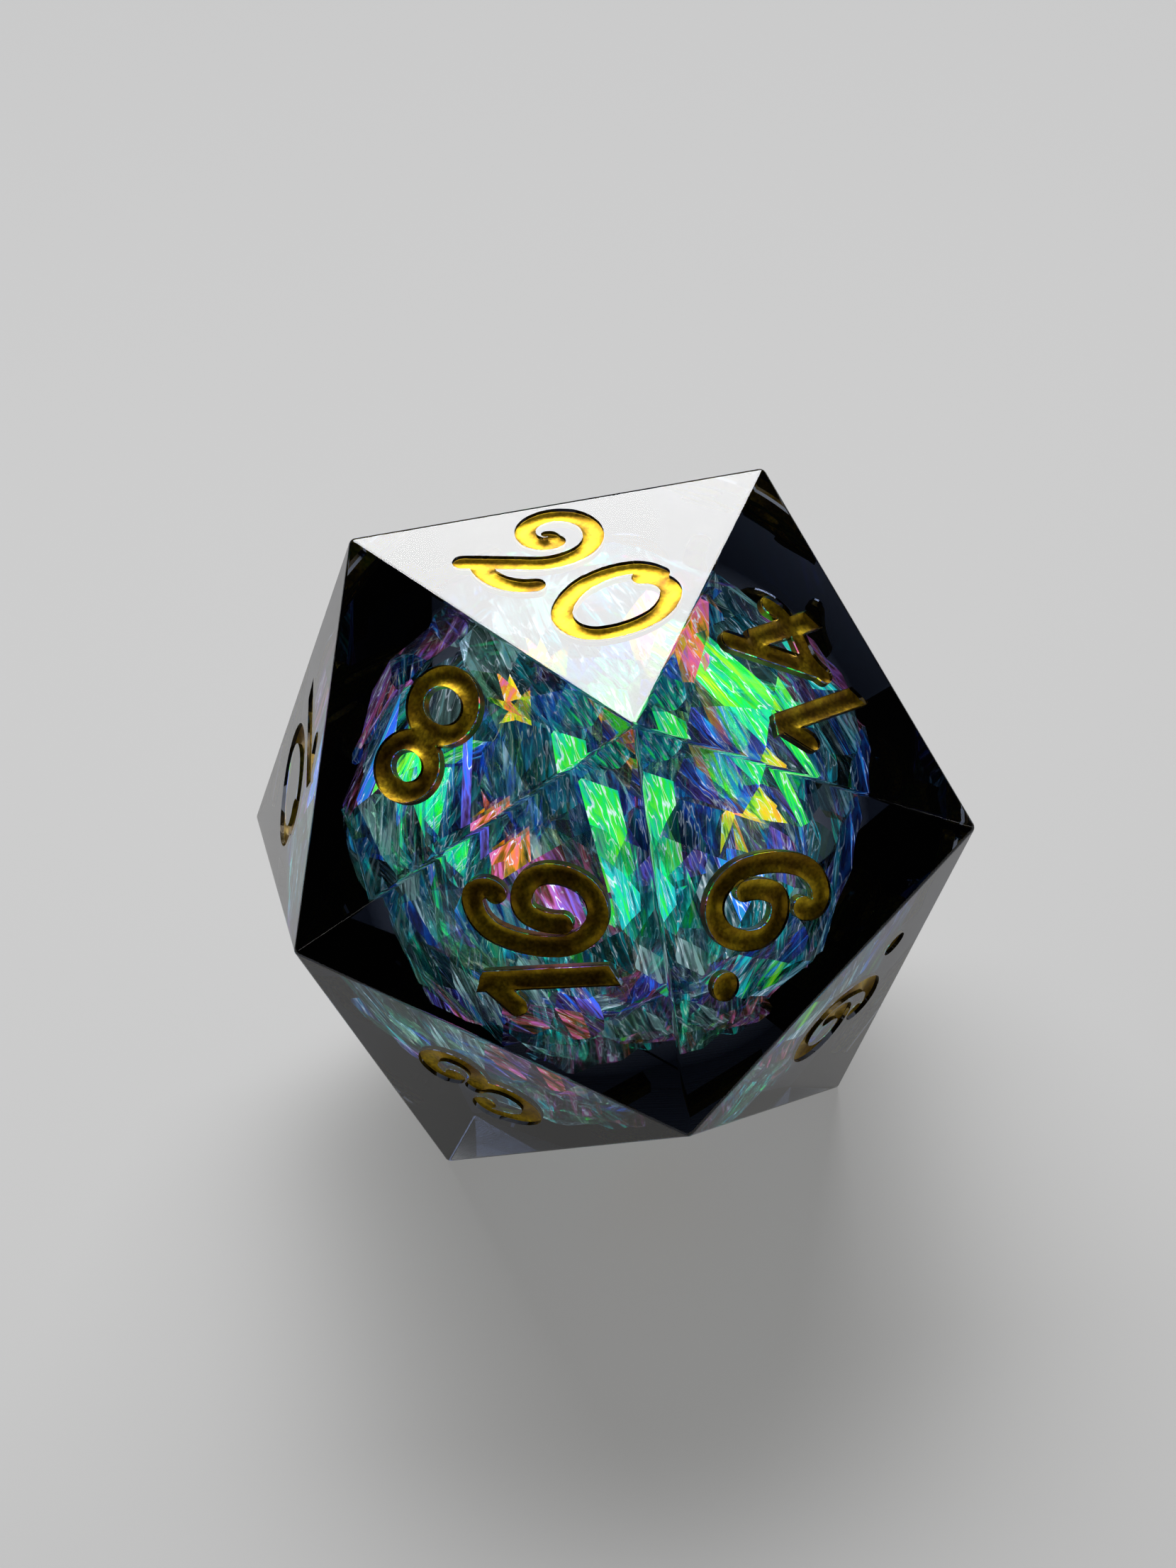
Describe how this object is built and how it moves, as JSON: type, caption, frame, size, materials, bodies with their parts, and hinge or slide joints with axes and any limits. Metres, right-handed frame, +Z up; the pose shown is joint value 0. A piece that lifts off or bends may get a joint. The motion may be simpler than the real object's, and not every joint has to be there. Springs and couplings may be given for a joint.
{
  "type": "twenty-sided die",
  "caption": "Sharp-edged icosahedral die in dark see-through resin, with iridescent film inside and gold-inked engraved numerals.",
  "frame": {"origin": "middle of the bottom face, the face of the 1", "axes": "+Z up through the middle of the top face, the face of the 20; +X from the middle towards the corner that the 20's top points at"},
  "size_m": [0.0246, 0.0214, 0.02],
  "materials": {
    "tinted_resin": "polished dark blue-black see-through resin",
    "clear_resin": "clear resin",
    "gold_ink": "brushed-in metallic gold ink",
    "iridescent_film": "crumpled iridescent film, blue-green to pink"
  },
  "bodies": {
    "root": {"shell": "tinted_resin", "core": "clear_resin", "numeral_01": "gold_ink", "numeral_02": "gold_ink", "numeral_03": "gold_ink", "numeral_04": "gold_ink", "numeral_05": "gold_ink", "numeral_06": "gold_ink", "numeral_07": "gold_ink", "numeral_08": "gold_ink", "numeral_09": "gold_ink", "numeral_10": "gold_ink", "numeral_11": "gold_ink", "numeral_12": "gold_ink", "numeral_13": "gold_ink", "numeral_14": "gold_ink", "numeral_15": "gold_ink", "numeral_16": "gold_ink", "numeral_17": "gold_ink", "numeral_18": "gold_ink", "numeral_19": "gold_ink", "numeral_20": "gold_ink", "film_face_01": "iridescent_film", "film_face_02": "iridescent_film", "film_face_03": "iridescent_film", "film_face_04": "iridescent_film", "film_face_05": "iridescent_film", "film_face_06": "iridescent_film", "film_face_07": "iridescent_film", "film_face_08": "iridescent_film", "film_face_09": "iridescent_film", "film_face_10": "iridescent_film", "film_face_11": "iridescent_film", "film_face_12": "iridescent_film", "film_face_13": "iridescent_film", "film_face_14": "iridescent_film", "film_face_15": "iridescent_film", "film_face_16": "iridescent_film", "film_face_17": "iridescent_film", "film_face_18": "iridescent_film", "film_face_19": "iridescent_film", "film_face_20": "iridescent_film", "film_corner_01": "iridescent_film", "film_corner_02": "iridescent_film", "film_corner_03": "iridescent_film", "film_corner_04": "iridescent_film", "film_corner_05": "iridescent_film", "film_corner_06": "iridescent_film", "film_corner_07": "iridescent_film", "film_corner_08": "iridescent_film", "film_corner_09": "iridescent_film", "film_corner_10": "iridescent_film", "film_corner_11": "iridescent_film", "film_corner_12": "iridescent_film", "film_middle_01": "iridescent_film", "film_middle_02": "iridescent_film", "film_middle_03": "iridescent_film", "film_middle_04": "iridescent_film"}
  },
  "joints": []
}
